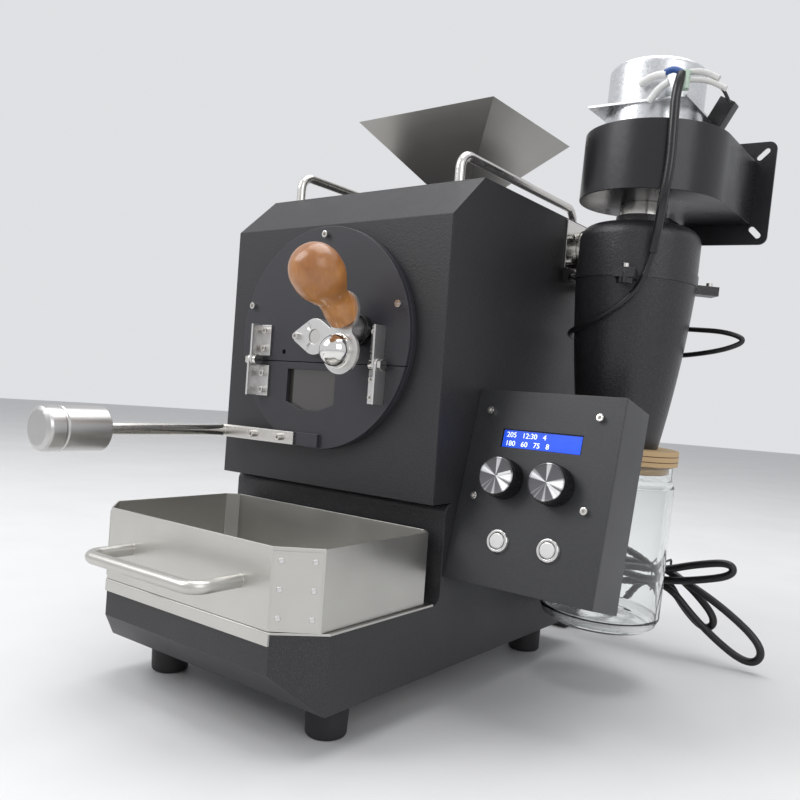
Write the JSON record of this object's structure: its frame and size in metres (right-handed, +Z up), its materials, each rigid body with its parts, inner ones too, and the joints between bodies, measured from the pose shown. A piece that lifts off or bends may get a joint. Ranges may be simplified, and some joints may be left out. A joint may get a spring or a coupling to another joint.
{
  "type": "coffee roaster",
  "caption": "Countertop drum coffee roaster with hopper, hinged discharge door, cooling tray, chaff cyclone with jar, blower and control box.",
  "frame": {"origin": "on the table under the middle of the roaster's outline, cords left out", "axes": "+Z up, the door and tray face -Y, the cyclone stands on the +X side"},
  "size_m": [0.4035, 0.53, 0.5297],
  "materials": {
    "black_powder_coat": "fine speckled black powder coat",
    "satin_black_plate": "smooth dark grey heat-proof plate",
    "satin_black_sheet": "satin black paint",
    "brushed_stainless": "brushed stainless sheet",
    "polished_stainless": "polished stainless steel",
    "galvanised": "bright galvanised steel",
    "dark_steel": "dark heat-stained steel",
    "black_rubber": "black rubber",
    "black_plastic": "matt black plastic",
    "grey_plastic": "grey plastic",
    "clear_glass": "clear glass",
    "smoked_glass": "dark window glass",
    "bamboo": "laminated bamboo",
    "beech": "varnished beech",
    "cable_sheath": "black cable sheath",
    "lcd_blue": "blue liquid crystal display"
  },
  "bodies": {
    "chassis": {"base_shell": "black_powder_coat", "base_floor": "black_powder_coat", "rubber_feet": "black_rubber", "cooling_deck": "brushed_stainless", "cooling_fan_frame": "black_plastic", "upper_housing": "black_powder_coat", "front_panel": "black_powder_coat", "rear_cover": "black_powder_coat", "roof_handles": "polished_stainless", "chamber_flange": "satin_black_plate", "face_plate": "satin_black_plate", "drum_bearings": "polished_stainless", "upper_hinge_leaves": "brushed_stainless", "hinge_bolts_and_screws": "polished_stainless", "feed_chute": "brushed_stainless", "heat_jacket": "brushed_stainless", "heating_rods": "dark_steel", "drum_motor": "galvanised", "exhaust_duct": "brushed_stainless", "cyclone_cap": "black_powder_coat", "cyclone_cone": "black_powder_coat", "outlet_pipe": "polished_stainless", "jar_lid": "bamboo", "blower_scroll": "satin_black_sheet", "blower_flange": "satin_black_sheet", "blower_motor": "galvanised", "capacitor_box": "grey_plastic", "control_case": "black_powder_coat", "control_face": "black_powder_coat", "lcd_and_dial_board": "lcd_blue", "button_rings": "polished_stainless", "cord_glands": "black_plastic", "motor_lead": "cable_sheath", "mains_cord": "cable_sheath", "mains_plug": "black_plastic"},
    "door": {"door_plate": "satin_black_plate", "door_glass": "smoked_glass", "lower_hinge_leaves": "brushed_stainless", "door_lever": "polished_stainless", "counterweight": "satin_black_sheet", "door_screws": "polished_stainless"},
    "drum": {"roasting_drum": "dark_steel", "drum_spiders": "dark_steel", "drum_vanes": "dark_steel", "drum_shaft": "polished_stainless"},
    "sampler_bush": {"sampler_boss": "black_plastic"},
    "sampler": {"sampler_scoop": "polished_stainless", "steel_knob": "polished_stainless", "wooden_handle": "beech"},
    "tray": {"bean_tray": "brushed_stainless", "tray_screen": "brushed_stainless"},
    "hopper": {"hopper": "brushed_stainless"},
    "jar": {"glass_jar": "clear_glass"},
    "left_dial": {"left_dial": "black_plastic"},
    "right_dial": {"right_dial": "black_plastic"},
    "left_button": {"left_button": "black_plastic"},
    "right_button": {"right_button": "black_plastic"},
    "blower_impeller": {"blower_impeller": "galvanised"},
    "cooling_fan_rotor": {"cooling_fan_rotor": "black_plastic"}
  },
  "joints": [
    {"name": "door_swing", "type": "hinge", "parent": "chassis", "child": "door", "pos_m": [-0.07329, -0.0705, 0.257], "axis": [-1, 0, 0], "range_deg": [0, 55]},
    {"name": "drum_spin", "type": "hinge", "parent": "chassis", "child": "drum", "pos_m": [-0.07329, 0.0215, 0.2775], "axis": [0, 1, 0], "continuous": true},
    {"name": "sampler_twist", "type": "hinge", "parent": "chassis", "child": "sampler_bush", "pos_m": [-0.03129, -0.0635, 0.2835], "axis": [0, 1, 0], "range_deg": [-90, 90]},
    {"name": "sampler_slide", "type": "slide", "parent": "sampler_bush", "child": "sampler", "axis": [0, -1, 0], "range_m": [0, 0.085]},
    {"name": "tray_slide", "type": "slide", "parent": "chassis", "child": "tray", "axis": [0, -1, 0], "range_m": [0, 0.12]},
    {"name": "hopper_lift", "type": "slide", "parent": "chassis", "child": "hopper", "axis": [0, 0, 1], "range_m": [0, 0.04]},
    {"name": "jar_drop", "type": "slide", "parent": "chassis", "child": "jar", "axis": [-0.0419, 0, -0.9991], "range_m": [0, 0.04]},
    {"name": "left_dial_turn", "type": "hinge", "parent": "chassis", "child": "left_dial", "pos_m": [0.07871, -0.02171, 0.18027], "axis": [0, -0.9701, 0.2428], "range_deg": [-150, 150]},
    {"name": "right_dial_turn", "type": "hinge", "parent": "chassis", "child": "right_dial", "pos_m": [0.11921, -0.02171, 0.18027], "axis": [0, -0.9701, 0.2428], "range_deg": [-150, 150]},
    {"name": "left_button_press", "type": "slide", "parent": "chassis", "child": "left_button", "axis": [0, 0.9701, -0.2428], "range_m": [0, 0.002], "stiffness_N_per_m": 600, "springref_m": -0.001},
    {"name": "right_button_press", "type": "slide", "parent": "chassis", "child": "right_button", "axis": [0, 0.9701, -0.2428], "range_m": [0, 0.002], "stiffness_N_per_m": 600, "springref_m": -0.001},
    {"name": "impeller_spin", "type": "hinge", "parent": "chassis", "child": "blower_impeller", "pos_m": [0.11216, 0.1355, 0.4401], "axis": [0.0419, 0, 0.9991], "continuous": true},
    {"name": "fan_spin", "type": "hinge", "parent": "chassis", "child": "cooling_fan_rotor", "pos_m": [-0.07329, -0.1095, 0.066], "axis": [0, 0, 1], "continuous": true}
  ]
}
